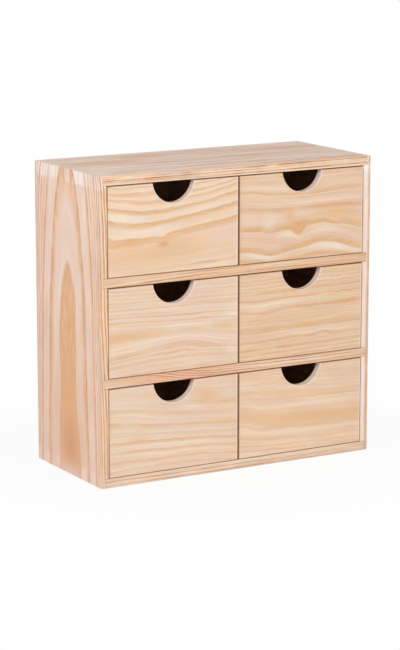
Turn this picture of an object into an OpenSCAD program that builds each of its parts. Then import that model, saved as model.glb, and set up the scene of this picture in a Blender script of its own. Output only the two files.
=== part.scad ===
// Desktop chest of mini drawers in solid pine: two columns and three rows of loose drawers.
// Origin: middle of the underside. X runs across the chest, the fronts face -Y, Z is up.

/* [Case] */
// Width of the case over its sides
case_w = 330; // [240:1:480]
// Depth of the case from its front edges to its back edges
case_d = 147; // [100:1:260]
// Height of the case over its top and bottom
case_h = 326; // [230:1:480]
// Thickness of the two side boards
side_t = 9; // [8:0.5:14]
// Thickness of the top and bottom boards
panel_t = 10; // [8:0.5:16]
// Thickness of the two shelves
shelf_t = 10; // [8:0.5:16]
// How deep the ends of the level boards are let into the sides
housing_depth = 5; // [2:0.5:6]

/* [Back] */
// Thickness of the plywood back
back_t = 3; // [2:0.5:6]
// How far the back lies inside the back edges of the case
back_recess = 1; // [0.8:0.1:3]
// Width of the rebate that the back sits in
rebate_w = 5; // [4:0.5:6]
// Clearance between the back's edge and its rebate
back_play = 0.2; // [0:0.05:0.5]

/* [Dividers] */
// Thickness of the plywood dividers between the columns
divider_t = 3; // [2.5:0.5:6]
// How far a divider stands behind the backs of the drawer fronts
divider_setback = 2; // [0.5:0.5:10]
// How deep a divider is let into the boards above and below it
divider_housing = 2; // [1:0.5:3]
// Clearance between a divider's upper edge and the floor of its groove
divider_play = 0.2; // [0:0.05:0.5]

/* [Drawer fronts] */
// Thickness of a drawer front
front_t = 9; // [8:0.5:16]
// Gap between a front's end and the side of the case
end_gap = 0.8; // [0.6:0.1:3]
// Gap between the two fronts of a row
centre_gap = 2.4; // [1.6:0.1:4]
// Gap above a front
top_gap = 1; // [0.6:0.1:3]
// Gap below a drawer, between it and the board it runs on
bottom_gap = 0.4; // [0.3:0.1:1.5]
// Radius of the round finger notch
notch_r = 25; // [12:0.5:40]
// Depth of the finger notch below the front's upper edge
notch_depth = 22; // [8:0.5:40]

/* [Drawer boxes] */
// Thickness of a drawer's side boards
wall_t = 7; // [5:0.5:12]
// Thickness of a drawer's back board
tail_t = 7; // [5:0.5:12]
// How far the sides and back stop below the front's upper edge
wall_drop = 8; // [0:0.5:20]
// Gap between a drawer's side and the divider
box_gap = 0.7; // [0.4:0.1:2]
// Gap between a closed drawer and the back of the case
stop_gap = 0.5; // [0.3:0.1:3]
// How deep the sides are let into the back of the front
lap_depth = 4; // [3:0.5:5]
// Thickness of a drawer's plywood bottom
floor_t = 3; // [2:0.5:5]
// Depth of the groove that holds the bottom
groove_depth = 3; // [2:0.5:4]
// Height of that groove above the drawer's lower edge
groove_up = 4; // [2:0.5:8]
// Clearance over the bottom and round its edge in the groove
groove_play = 0.1; // [0:0.05:0.4]

/* [Pins] */
// Diameter of a pin's shank
pin_d = 1.2; // [0.8:0.1:1.8]
// Diameter of a pin's head
head_d = 2.2; // [2:0.1:3.5]
// Thickness of a pin's head
head_t = 0.6; // [0.4:0.1:0.8]
// Length of a pin's shank
pin_l = 14; // [12:0.5:20]
// How much wider than the pin its hole is bored
pin_play = 0.04; // [0:0.01:0.1]
// Distance of a drawer's pins from the nearest edge or groove
pin_edge = 10; // [4:0.5:16]

/* [Travel] */
// How far clear of the case a drawer is when it has been pulled right out
clear_of_case = 4; // [1:1:50]

/* [Hidden] */
tiers = ["lower", "middle", "upper"];
columns = ["left", "right"];
drawer_pieces = ["front", "left_side", "right_side", "back", "bottom", "pins"];

function drawer_node(tier, column, piece) =
    str(tiers[tier], "_", columns[column], "_drawer_", piece);

$fn = 96;
pin_fn = 24;
// Small overshoot that carries a cut past a face
over = 1;

pine = [0.91, 0.78, 0.64];
pine_front = [0.92, 0.80, 0.66];
plywood = [0.83, 0.71, 0.55];
steel = [0.62, 0.62, 0.60];

// Levels and widths of the case
inner_w = case_w - 2 * side_t;
level_w = inner_w + 2 * housing_depth;
rebate_d = back_t + back_recess;
inner_d = case_d - rebate_d;
tier_h = (case_h - 2 * panel_t - (len(tiers) - 1) * shelf_t) / len(tiers);
front_y = -case_d / 2;
back_y = front_y + inner_d;
divider_y = front_y + front_t + divider_setback;

function tier_z(tier) = panel_t + tier * (tier_h + shelf_t);
function shelf_z(shelf) = tier_z(shelf) + tier_h;

// Sizes of a drawer; its own corner is the lower left end of its front
front_w = (inner_w - 2 * end_gap - centre_gap) / 2;
front_h = tier_h - top_gap - bottom_gap;
drawer_d = inner_d - stop_gap;
wall_h = front_h - wall_drop;
wall_inset = divider_t / 2 + box_gap - centre_gap / 2;
well_x = wall_inset + wall_t;
well_w = front_w - 2 * well_x;
wall_y = front_t - lap_depth;
tail_y = drawer_d - tail_t;
travel = drawer_d + clear_of_case;

function drawer_x(column) = column == 0 ? -centre_gap / 2 - front_w : centre_gap / 2;

// Heights and depths of the pins in a drawer's corners
drawer_pin_z = [groove_up + floor_t + pin_edge, wall_h - pin_edge];
drawer_pin_y = [front_t - lap_depth / 2, tail_y + tail_t / 2];

// Places of the pins in the back: one in each bay along the level boards, two a tier up the sides
level_pin_z = concat(
    [panel_t - rebate_w / 2],
    [for (shelf = [0 : len(tiers) - 2]) shelf_z(shelf) + shelf_t / 2],
    [case_h - panel_t + rebate_w / 2]
);
back_pin_spots = concat(
    [for (z = level_pin_z, hand = [-1, 1]) [hand * inner_w / 4, z]],
    [for (tier = [0 : len(tiers) - 1], share = [0.25, 0.75], hand = [-1, 1])
        [hand * (inner_w + rebate_w) / 2, tier_z(tier) + share * tier_h]]
);

// A pin along Z: its head stands on z = 0 and its shank goes down
module pin() {
    cylinder(h = head_t, d = head_d, $fn = pin_fn);
    translate([0, 0, -pin_l])
        cylinder(h = pin_l, d = pin_d, $fn = pin_fn);
}

// The hole a pin is driven into, with a seat that lets the head lie as deep as it is thick
module pin_hole() {
    cylinder(h = head_t + over, d = head_d + pin_play, $fn = pin_fn);
    translate([0, 0, -pin_l - pin_play])
        cylinder(h = pin_l + pin_play + over, d = pin_d + pin_play, $fn = pin_fn);
}

// Puts a pin or its hole at each place in the back of the case
module at_back_pins() {
    for (spot = back_pin_spots)
        translate([spot[0], back_y + back_t, spot[1]])
            rotate([-90, 0, 0])
                children();
}

// Puts a pin or its hole at each corner joint of a drawer; outer faces of the walls at x
module at_wall_pins(x, turn) {
    for (y = drawer_pin_y, z = drawer_pin_z)
        translate([x, y, z])
            rotate([0, turn, 0])
                translate([0, 0, -head_t])
                    children();
}

// ---- case ----

// Groove for a divider in the face of a level board: it lies on z and goes up
module divider_groove(z) {
    translate([-divider_t / 2, divider_y, z])
        cube([divider_t, back_y - divider_y + over, divider_housing]);
}

// A side of the case; hand is -1 for the left and 1 for the right
module case_side(hand) {
    shelf_slots = [for (shelf = [0 : len(tiers) - 2]) shelf_z(shelf)];
    color(pine)
        mirror([hand < 0 ? 1 : 0, 0, 0])
            difference() {
                translate([inner_w / 2, front_y, 0])
                    cube([side_t, case_d, case_h]);
                // rabbets for the bottom and top boards
                translate([inner_w / 2 - over, front_y - over, -over])
                    cube([housing_depth + over, case_d + 2 * over, panel_t + over]);
                translate([inner_w / 2 - over, front_y - over, case_h - panel_t])
                    cube([housing_depth + over, case_d + 2 * over, panel_t + over]);
                // housings for the shelves
                for (z = shelf_slots)
                    translate([inner_w / 2 - over, front_y - over, z])
                        cube([housing_depth + over, inner_d + over, shelf_t]);
                // rebate for the back
                translate([inner_w / 2 - over, back_y, -over])
                    cube([rebate_w + over, rebate_d + over, case_h + 2 * over]);
                at_back_pins()
                    pin_hole();
            }
}

module top_panel() {
    color(pine)
        difference() {
            translate([-level_w / 2, front_y, case_h - panel_t])
                cube([level_w, case_d, panel_t]);
            translate([-level_w / 2 - over, back_y, case_h - panel_t - over])
                cube([level_w + 2 * over, rebate_d + over, rebate_w + over]);
            divider_groove(case_h - panel_t);
            at_back_pins()
                pin_hole();
        }
}

module bottom_panel() {
    color(pine)
        difference() {
            translate([-level_w / 2, front_y, 0])
                cube([level_w, case_d, panel_t]);
            translate([-level_w / 2 - over, back_y, panel_t - rebate_w])
                cube([level_w + 2 * over, rebate_d + over, rebate_w + over]);
            divider_groove(panel_t - divider_housing);
            at_back_pins()
                pin_hole();
        }
}

module shelf(number) {
    color(pine)
        difference() {
            translate([-level_w / 2, front_y, shelf_z(number)])
                cube([level_w, inner_d, shelf_t]);
            divider_groove(shelf_z(number));
            divider_groove(shelf_z(number) + shelf_t - divider_housing);
            at_back_pins()
                pin_hole();
        }
}

module back_panel() {
    back_w = inner_w + 2 * rebate_w - 2 * back_play;
    back_h = case_h - 2 * panel_t + 2 * rebate_w - 2 * back_play;
    color(plywood)
        difference() {
            translate([-back_w / 2, back_y, panel_t - rebate_w + back_play])
                cube([back_w, back_t, back_h]);
            at_back_pins()
                pin_hole();
        }
}

module back_pins() {
    color(steel)
        at_back_pins()
            pin();
}

module divider(tier) {
    color(plywood)
        translate([-divider_t / 2, divider_y, tier_z(tier) - divider_housing])
            cube([divider_t, back_y - divider_y, tier_h + 2 * divider_housing - divider_play]);
}

// ---- drawers ----

// Moves a drawer piece from the drawer's own corner to its bay
module in_bay(tier, column) {
    translate([drawer_x(column), front_y, tier_z(tier) + bottom_gap])
        children();
}

// Round finger notch through the front, centred on its upper edge
module finger_notch() {
    notch_z = front_h - notch_depth + notch_r;
    translate([front_w / 2, -over, notch_z])
        rotate([-90, 0, 0])
            cylinder(h = front_t + 2 * over, r = notch_r);
    translate([front_w / 2 - notch_r, -over, notch_z])
        cube([2 * notch_r, front_t + 2 * over, notch_r + notch_depth]);
}

module drawer_front(tier, column) {
    color(pine_front)
        in_bay(tier, column)
            difference() {
                cube([front_w, front_t, front_h]);
                finger_notch();
                // rabbets at both ends for the drawer's sides
                translate([-over, wall_y, -over])
                    cube([well_x + over, lap_depth + over, front_h + 2 * over]);
                translate([front_w - well_x, wall_y, -over])
                    cube([well_x + over, lap_depth + over, front_h + 2 * over]);
                // groove for the bottom
                translate([well_x - over, front_t - groove_depth, groove_up])
                    cube([well_w + 2 * over, groove_depth + over, floor_t + groove_play]);
                at_wall_pins(wall_inset, -90)
                    pin_hole();
                at_wall_pins(front_w - wall_inset, 90)
                    pin_hole();
            }
}

// A side of a drawer; hand is 0 for the left and 1 for the right
module drawer_wall(tier, column, hand) {
    wall_x = hand == 0 ? wall_inset : front_w - well_x;
    groove_x = hand == 0 ? well_x - groove_depth : front_w - well_x - over;
    color(pine)
        in_bay(tier, column)
            difference() {
                translate([wall_x, wall_y, 0])
                    cube([wall_t, drawer_d - wall_y, wall_h]);
                translate([groove_x, wall_y - over, groove_up])
                    cube([groove_depth + over, drawer_d - wall_y + 2 * over, floor_t + groove_play]);
                at_wall_pins(hand == 0 ? wall_inset : front_w - wall_inset, hand == 0 ? -90 : 90)
                    pin_hole();
            }
}

module drawer_back(tier, column) {
    color(pine)
        in_bay(tier, column)
            difference() {
                translate([well_x, tail_y, 0])
                    cube([well_w, tail_t, wall_h]);
                translate([well_x - over, tail_y - over, groove_up])
                    cube([well_w + 2 * over, groove_depth + over, floor_t + groove_play]);
                at_wall_pins(wall_inset, -90)
                    pin_hole();
                at_wall_pins(front_w - wall_inset, 90)
                    pin_hole();
            }
}

module drawer_bottom(tier, column) {
    reach = groove_depth - groove_play;
    color(plywood)
        in_bay(tier, column)
            translate([well_x - reach, front_t - reach, groove_up])
                cube([well_w + 2 * reach, tail_y - front_t + 2 * reach, floor_t]);
}

module drawer_pins(tier, column) {
    color(steel)
        in_bay(tier, column) {
            at_wall_pins(wall_inset, -90)
                pin();
            at_wall_pins(front_w - wall_inset, 90)
                pin();
        }
}

case_side(-1);  // left_side
case_side(1);  // right_side
top_panel();
bottom_panel();
shelf(0);  // lower_shelf
shelf(1);  // upper_shelf
back_panel();
back_pins();
for (tier = [0 : len(tiers) - 1])
    divider(tier);
for (tier = [0 : len(tiers) - 1], column = [0 : 1]) {
    drawer_front(tier, column);
    drawer_wall(tier, column, 0);
    drawer_wall(tier, column, 1);
    drawer_back(tier, column);
    drawer_bottom(tier, column);
    drawer_pins(tier, column);
}
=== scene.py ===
"""Desktop chest of mini drawers in bare pine: its boards, pins and finishes, with a small studio."""

import logging
import math
from dataclasses import dataclass, replace
from enum import Enum
from functools import reduce
from typing import Iterable, Sequence, Union

import bmesh
import bpy
from mathutils import Matrix, Vector


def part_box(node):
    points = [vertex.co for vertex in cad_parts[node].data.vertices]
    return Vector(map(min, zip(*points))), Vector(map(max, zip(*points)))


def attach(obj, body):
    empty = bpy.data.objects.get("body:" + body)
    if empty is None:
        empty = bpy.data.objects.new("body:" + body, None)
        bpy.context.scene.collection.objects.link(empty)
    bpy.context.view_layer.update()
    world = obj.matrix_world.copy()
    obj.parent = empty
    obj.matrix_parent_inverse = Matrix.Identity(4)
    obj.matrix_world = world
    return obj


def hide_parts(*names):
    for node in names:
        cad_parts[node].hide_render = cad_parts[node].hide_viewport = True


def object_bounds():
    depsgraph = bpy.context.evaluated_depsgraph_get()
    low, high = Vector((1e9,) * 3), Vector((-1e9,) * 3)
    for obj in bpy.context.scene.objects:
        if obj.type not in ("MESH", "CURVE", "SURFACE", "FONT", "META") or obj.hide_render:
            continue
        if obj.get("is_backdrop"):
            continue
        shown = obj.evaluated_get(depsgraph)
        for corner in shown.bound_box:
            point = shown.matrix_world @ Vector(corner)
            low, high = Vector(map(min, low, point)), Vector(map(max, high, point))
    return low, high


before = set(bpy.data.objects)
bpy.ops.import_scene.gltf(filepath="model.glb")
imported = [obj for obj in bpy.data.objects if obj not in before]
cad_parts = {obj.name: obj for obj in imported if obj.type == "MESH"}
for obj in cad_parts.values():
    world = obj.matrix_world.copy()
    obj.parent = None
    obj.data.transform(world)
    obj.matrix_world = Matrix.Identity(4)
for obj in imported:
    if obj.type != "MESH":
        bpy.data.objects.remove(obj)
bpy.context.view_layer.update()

LOG = logging.getLogger("mini_drawers")
MM = 0.001
WELD = 0.001 * MM
FLAT_ANGLE = math.radians(0.5)
SMOOTH_ANGLE = math.radians(20)
ARRIS_ANGLE = math.radians(30)
SEED_SHIFTS = (3.17, 5.71, 7.93)
ARRIS = "arris"
RIM = "rim"
CUT = "cut"

Colour = tuple[float, float, float]
Socket = bpy.types.NodeSocket
Feed = Union[Socket, float, Sequence[float]]
Place = tuple[float, float, float]


def srgb(*screen: float) -> Colour:
    """Turns a colour's three screen values, from 0 to 255, into linear light."""
    shares = [value / 255 for value in screen]
    return tuple(share / 12.92 if share <= 0.04045 else ((share + 0.055) / 1.055) ** 2.4 for share in shares)


# --- Choices ---


class Lie(Enum):
    """How a board lies in the chest: the axes along its grain, across its face and through it."""

    LEVEL = "XYZ"
    FRONT = "XZY"
    UPRIGHT = "ZYX"
    RUNNING = "YZX"


class Slot(Enum):
    """The record's material slots."""

    CASE_PINE = "case_pine"
    FRONT_PINE = "front_pine"
    PLYWOOD = "plywood"
    STEEL = "steel"


class Tier(Enum):
    """A row of drawers."""

    LOWER = "lower"
    MIDDLE = "middle"
    UPPER = "upper"


class Column(Enum):
    """A column of drawers, as the viewer sees it."""

    LEFT = "left"
    RIGHT = "right"


class Tint(Enum):
    """The tones that a patch of pine can lean to."""

    PALE = srgb(243, 224, 204)
    BLUSH = srgb(236, 204, 186)
    HONEY = srgb(229, 186, 142)
    AMBER = srgb(224, 166, 112)
    ROSE = srgb(234, 178, 146)
    CREAM = srgb(252, 233, 220)
    SAND = srgb(240, 208, 170)
    RUST = srgb(210, 152, 112)
    BLEACHED = srgb(255, 241, 236)


# --- Shader graphs ---


class Graph:
    """A node tree, with one short call for each kind of node that the finishes and the studio need."""

    def __init__(self, tree: bpy.types.NodeTree) -> None:
        """Empties the tree, to build it afresh."""
        tree.nodes.clear()
        self.tree = tree

    def feed(self, socket: Socket, value: Feed) -> None:
        """Links or sets one input.

        Args:
            socket: The input socket.
            value: A socket to link, or the value to set.
        """
        if isinstance(value, Socket):
            self.tree.links.new(value, socket)
        else:
            socket.default_value = value

    def node(self, kind: str, inputs: dict[Union[int, str], Feed], output: Union[int, str] = 0,
             **settings: Union[bool, str]) -> Socket:
        """Adds one node.

        Args:
            kind: Blender's name for it, without the word Shader in front.
            inputs: What goes into its inputs, by their number or name.
            output: The number or name of the output that is wanted.
            **settings: Its other settings, made before its inputs.

        Returns:
            That output.
        """
        node = self.tree.nodes.new(f"ShaderNode{kind}")
        for name, setting in settings.items():
            setattr(node, name, setting)
        for key, value in inputs.items():
            self.feed(node.inputs[key], value)
        return node.outputs[output]

    def math(self, operation: str, *values: Feed) -> Socket:
        """Adds a Math node for one of Blender's operations."""
        return self.node("Math", dict(enumerate(values)), operation=operation)

    def scale(self, value: Feed, factor: Feed, offset: Feed) -> Socket:
        """Multiplies a value by a factor and adds an offset."""
        return self.math("MULTIPLY_ADD", value, factor, offset)

    def add(self, *terms: Feed) -> Feed:
        """Adds up any number of values."""
        return reduce(lambda total, term: self.math("ADD", total, term), terms)

    def times(self, *factors: Feed) -> Feed:
        """Multiplies any number of values."""
        return reduce(lambda product, factor: self.math("MULTIPLY", product, factor), factors)

    def bell(self, value: Feed, middle: float, reach: float) -> Socket:
        """Squares a value's distance from a middle, counted in reaches."""
        away = self.scale(value, 1 / reach, -middle / reach)
        return self.times(away, away)

    def fade(self, *squares: Feed) -> Socket:
        """Falls from 1 where the squares add up to nil, to nearly nil where they add up to 4."""
        return self.math("EXPONENT", self.times(self.add(*squares), -1.0))

    def smooth(self, value: Feed, low: float, high: float) -> Socket:
        """Eases a value from 0 at low to 1 at high; low may be the larger of the two."""
        span = {"From Min": min(low, high), "From Max": max(low, high),
                "To Min": float(low > high), "To Max": float(low < high)}
        return self.node("MapRange", {"Value": value, **span}, "Result", interpolation_type="SMOOTHSTEP")

    def split(self, vector: Feed, axes: str = "XYZ") -> tuple[Socket, ...]:
        """Takes a vector apart, in the order of the axes."""
        outputs = self.node("SeparateXYZ", {"Vector": vector}).node.outputs
        return tuple(outputs[axis] for axis in axes)

    def join(self, *values: Feed) -> Socket:
        """Puts a vector together from three values."""
        return self.node("CombineXYZ", dict(enumerate(values)))

    def place(self, centre: Vector, axes: str = "XYZ") -> tuple[Socket, ...]:
        """Reads the piece's coordinates along the axes, in millimetres from its centre, given in metres."""
        inputs = {"Vector": self.node("TexCoord", {}, "Object"), "Scale": (1 / MM, 1 / MM, 1 / MM),
                  "Location": [-value / MM for value in centre]}
        return self.split(self.node("Mapping", inputs), axes)

    def facing(self, axis: str) -> Socket:
        """Tells how squarely the surface faces one of the piece's axes, from 0 to 1."""
        normal = self.node("TexCoord", {}, "Normal")
        return self.split(self.node("VectorMath", {0: normal}, operation="ABSOLUTE"), axis)[0]

    def noise(self, point: Sequence[Feed], grain: Place, seed: float, detail: float = 2.0,
              roughness: float = 0.5) -> Socket:
        """Adds fractal noise whose grain has its own size along each axis.

        Args:
            point: The three coordinates in millimetres.
            grain: The noise's size along each of them in millimetres.
            seed: Moves the noise to a place of its own.
            detail: Octaves.
            roughness: How strong each further octave is.

        Returns:
            A value round 0.5.
        """
        scaled = [self.scale(value, 1 / size, seed * shift)
                  for value, size, shift in zip(point, grain, SEED_SHIFTS)]
        inputs = {"Vector": self.join(*scaled), "Scale": 1.0, "Detail": detail, "Roughness": roughness}
        return self.node("TexNoise", inputs, "Fac")

    def dice(self, value: Feed) -> Socket:
        """Gives each whole number a random value of its own, from 0 to 1."""
        return self.node("TexWhiteNoise", {"W": value}, "Value", noise_dimensions="1D")

    def blend(self, share: Feed, first: Feed, second: Feed) -> Socket:
        """Mixes a share of the second colour into the first."""
        pair = [value if isinstance(value, Socket) else (*value, 1.0) for value in (first, second)]
        return self.node("Mix", {0: share, 6: pair[0], 7: pair[1]}, 2, data_type="RGBA", clamp_factor=True)

    def layer(self, ground: Feed, *coats: tuple[Feed, Feed]) -> Feed:
        """Lays coats over a ground colour; each is a share and its own colour."""
        return reduce(lambda under, coat: self.blend(coat[0], under, coat[1]), coats, ground)

    def shade(self, colour: Feed, level: Feed) -> Socket:
        """Darkens or lightens a colour by one factor."""
        return self.node("VectorMath", {0: colour, "Scale": level}, operation="SCALE")

    def tinge(self, colour: Feed, *factors: Feed) -> Socket:
        """Shifts a colour's hue by a factor each for red, green and blue."""
        return self.node("VectorMath", {0: colour, 1: self.join(*factors)}, operation="MULTIPLY")

    def marked(self, name: str) -> Socket:
        """Reads a value that the mesh's faces carry."""
        return self.node("Attribute", {}, "Fac", attribute_name=name)

    def seen(self) -> Socket:
        """Gives 1 to the rays of the camera, of mirrors and of clear things, and 0 to the rest."""
        rays = self.node("LightPath", {}).node.outputs
        return self.math("MAXIMUM", self.math("MAXIMUM", rays["Is Camera Ray"], rays["Is Glossy Ray"]),
                         rays["Is Transmission Ray"])


class Skin(Graph):
    """The graph of a material with a Principled surface."""

    def __init__(self, name: str) -> None:
        """Starts the material.

        Args:
            name: Its name.
        """
        self.material = bpy.data.materials.new(name)
        self.material.use_nodes = True
        super().__init__(self.material.node_tree)
        self.surface = self.tree.nodes.new("ShaderNodeBsdfPrincipled")
        self.output = self.tree.nodes.new("ShaderNodeOutputMaterial").inputs["Surface"]
        self.feed(self.output, self.surface.outputs["BSDF"])

    def coat(self, colour: Feed, roughness: Feed, specular: float = 0.5, metallic: float = 0.0) -> None:
        """Sets the surface's colour and shine.

        Args:
            colour: The colour.
            roughness: The roughness.
            specular: The level of its reflections.
            metallic: 1 for metal.
        """
        looks = {"Base Color": colour, "Roughness": roughness, "Specular IOR Level": specular,
                 "Metallic": metallic}
        for name, value in looks.items():
            self.feed(self.surface.inputs[name], value)

    def relief(self, height: Feed, depth: float, strength: float) -> None:
        """Gives the surface a bump; a height of 1 stands for the depth, in metres."""
        bump = {"Height": height, "Distance": depth, "Strength": strength}
        self.feed(self.surface.inputs["Normal"], self.node("Bump", bump))


# --- How a board was cut ---


@dataclass(frozen=True)
class Swirl:
    """A place where the grain lifts across the board, as it does beside a knot or in wavy wood.

    Lengths are in millimetres from the board's middle.
    """

    along: float
    across: float
    reach_along: float
    reach_across: float
    lift: float


@dataclass(frozen=True)
class Ring:
    """The dark wood that ends one year, at the place where it crosses the middle of the seen face.

    It darkens over build millimetres towards the bark and ends within close millimetres. Where reach
    is not nil, the ring only shows that far to each side of along. outline is how much of its last,
    darkest line shows.
    """

    at: float
    strength: float
    build: float = 3.0
    close: float = 1.1
    along: float = 0.0
    reach: float = 0.0
    outline: float = 1.0


@dataclass(frozen=True)
class Stain:
    """A soft patch of another tone, which follows the grain; in millimetres from the board's middle."""

    along: float
    across: float
    reach_along: float
    reach_across: float
    strength: float
    tint: Tint


@dataclass(frozen=True)
class Figure:
    """How a board was cut from its log, in millimetres from the board's middle.

    pith_across and pith_deep place the log's heart and seen_deep the face that is seen. slope and bow
    run the grain across the board, and fan_slope and fan_bow change them across it. wave and ripple bend
    it at random, in long and in short waves. taper and flare narrow the log, flare only past the middle,
    ever faster, and not beside the long edges. spacing and common are the width and strength of plain
    years, streaks and fresh the strength of thin growth lines and of the pale wood that opens a year, and
    rings are the years that stand out. bleached_from says where the pale ends begin, highlight_from where a
    painted highlight starts along the board's right end, and sawn how pale a cut is.
    """

    pith_across: float = 0.0
    pith_deep: float = 50.0
    seen_deep: float = -4.5
    slope: float = 0.0
    bow: float = 0.0
    fan_slope: float = 0.0
    fan_bow: float = 0.0
    taper: float = 0.0
    flare: float = 0.0
    wave: float = 0.6
    wave_length: float = 60.0
    ripple: float = 0.65
    spacing: float = 5.0
    common: float = 0.5
    streaks: float = 0.5
    fresh: float = 0.25
    rings: tuple[Ring, ...] = ()
    swirls: tuple[Swirl, ...] = ()
    stains: tuple[Stain, ...] = ()
    bleached_from: float = 0.0
    sawn: float = 0.0
    highlight_from: float = 0.0
    seed: float = 1.0

    def radius_at(self, across: float) -> float:
        """Works out how far a place across the seen face lies from the log's heart, in millimetres."""
        return math.hypot(across - self.pith_across, self.seen_deep - self.pith_deep)


def each(kind: type, *rows: Sequence[Union[float, Tint]]) -> tuple:
    """Makes one of a kind from each row of values."""
    return tuple(kind(*row) for row in rows)


EDGE_BOARD = Figure(pith_across=-150, pith_deep=60, seen_deep=-71.5, common=0.4)
# Fronts carry a painted highlight on the face along their right end, from highlight_from on.
FRONT_BOARD = Figure(pith_deep=80, wave=0.5, ripple=1.3, streaks=0.45, sawn=0.75, highlight_from=75.2)
LEFT_SIDE = Figure(
    pith_deep=-64.5, taper=0.0236, flare=0.000269, wave_length=90, spacing=2.4, common=0.2, streaks=0.3,
    bleached_from=149, seed=2,
    rings=each(
        Ring,(16.6, 0.95, 60, 0.7, 0, 0, 0.25), (40.5, 0.85, 5, 1), (58.5, 0.8, 3, 0.9),
        (63.4, 0.6, 1.2, 0.5), (67.4, 0.65, 1.1, 0.4), (70.6, 0.85, 1.1, 0.4), (73.2, 0.85, 1.1, 0.4),
        (76.2, 0.95, 1.2, 0.4, 0, 0, 1.6), (79.6, 1, 1.1, 0.4, 0, 0, 1.6), (82.4, 1, 1.2, 0.4, 0, 0, 1.6),
        (85, 1, 1.2, 0.4, 0, 0, 1.6)),
    swirls=each(
        Swirl,(-78, 22, 44, 14, -6), (-78, -22, 44, 14, 6), (-150, 24, 36, 14, -6), (30, -18, 30, 12, -3)),
    stains=each(
        Stain,(-110, 0, 70, 24, 1, Tint.AMBER), (110, 0, 46, 16, 0.4, Tint.BLUSH),
        (150, 0, 80, 90, 0.25, Tint.CREAM), (-150, 0, 70, 90, 0.5, Tint.BLUSH),
        (-130, -2, 26, 20, 1.6, Tint.RUST), (0, -75, 600, 3, 0.8, Tint.SAND),
        (-160, 2, 9, 40, 2, Tint.BLUSH), (163, 52, 10, 26, 1.4, Tint.CREAM)))
RIGHT_SIDE = Figure(
    pith_across=-4, pith_deep=-55.5, seen_deep=4.5, taper=-0.003, wave=0.5, wave_length=140, spacing=2.8,
    common=0.2, streaks=0.3, bleached_from=149, seed=5,
    rings=each(
        Ring,(14, 0.85, 30), (33, 0.7, 4), (50, 0.7, 3), (-71.9, 1, 2.2, 0.3), (-74, 1, 2.2, 0.4),
        (-65, 0.5, 1, 0.4)),
    swirls=each(
        Swirl,(110, 16, 60, 24, -12), (110, -24, 60, 20, 12), (-60, 20, 60, 20, 6)),
    stains=each(
        Stain,(0, -73, 1000, 7, 0.4, Tint.CREAM)))
TOP_PANEL = Figure(
    pith_across=-150, pith_deep=-110, seen_deep=5, slope=0.006, wave=0.4, wave_length=150, ripple=0.35,
    spacing=9, common=0.7, streaks=0.8, seed=7,
    rings=each(
        Ring,(-85.6, 1, 1.2, 0.4, 90, 180), (-83, 0.7, 0.9, 0.3, -120, 90), (-80.4, 1, 1.2, 0.4, -90, 140),
        (-76.1, 1, 1.2, 0.4, 100, 150), (-74.1, 0.3, 0.8, 0.3), (-64, 0.8, 4, 1, 90, 90),
        (-46, 0.5, 3, 1, 40, 80), (-28, 0.5, 3, 1, -20, 80), (-10, 0.7, 3, 1, -60, 40),
        (0, 0.7, 4, 1, 60, 60), (34, 0.8, 5, 1, 120, 60), (50, 0.6, 4, 1, 30, 70)),
    stains=each(
        Stain,(0, -76, 600, 4, 0.75, Tint.SAND), (-110, 20, 50, 12, 0.8, Tint.HONEY),
        (-50, 48, 40, 9, 0.7, Tint.ROSE), (120, 30, 50, 7, 0.5, Tint.ROSE), (50, -8, 70, 7, 0.5, Tint.HONEY),
        (110, -63, 80, 4, 0.6, Tint.AMBER), (-60, -8, 60, 4, 0.6, Tint.ROSE),
        (-40, 20, 30, 9, 0.5, Tint.PALE), (-130, 55, 40, 9, 0.6, Tint.PALE)))
UPPER_SHELF = replace(
    EDGE_BOARD, slope=0.02, bow=-0.0001, spacing=2, wave=0.3, seed=8,
    rings=each(
        Ring,(4.2, 0.6, 0.8, 0.3), (0.6, 1, 0.9, 0.4, -90, 60), (-2.4, 0.7, 0.8, 0.3, 60, 90),
        (-4.8, 0.6, 0.8, 0.3, 110, 60), (2.4, 0.6, 0.7, 0.3, 120, 50)),
    stains=each(
        Stain,(-120, 4, 50, 1.4, 0.8, Tint.PALE), (60, 2, 60, 1.5, 0.4, Tint.PALE),
        (-130, -1, 30, 1.8, 0.9, Tint.HONEY)))
LOWER_SHELF = replace(
    EDGE_BOARD, slope=-0.03, bow=0.0002, spacing=1.9, wave=0.4, seed=9,
    rings=each(
        Ring,(-7.4, 1, 0.8, 0.3, -80, 50), (-4.6, 1, 0.8, 0.3, -60, 60), (-2, 1, 0.8, 0.3, -30, 60),
        (0.6, 0.9, 0.8, 0.3, -60, 60), (3, 0.9, 0.8, 0.3, 60, 90), (-1, 0.7, 0.7, 0.3, 100, 60),
        (5, 0.6, 0.6, 0.3, 100, 60)),
    swirls=each(
        Swirl,(-110, 0, 40, 20, 6)),
    stains=each(
        Stain,(-80, 0, 60, 20, 0.8, Tint.ROSE), (60, 2, 60, 2, 0.5, Tint.PALE)))
BOTTOM_PANEL = replace(
    EDGE_BOARD, slope=-0.004, spacing=1.7, common=0.6, wave=0.2, wave_length=150, streaks=0.7, seed=10,
    rings=each(
        Ring,(-3.6, 1, 0.9, 0.3, 80, 120), (-1.4, 1, 0.8, 0.3, -40, 150), (0.6, 0.6, 0.6, 0.3, 90, 100),
        (2.6, 1, 0.8, 0.3, -60, 140)),
    stains=each(
        Stain,(-60, 0.4, 140, 1, 0.6, Tint.PALE), (0, 4.4, 300, 0.8, 0.5, Tint.PALE)))
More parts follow.
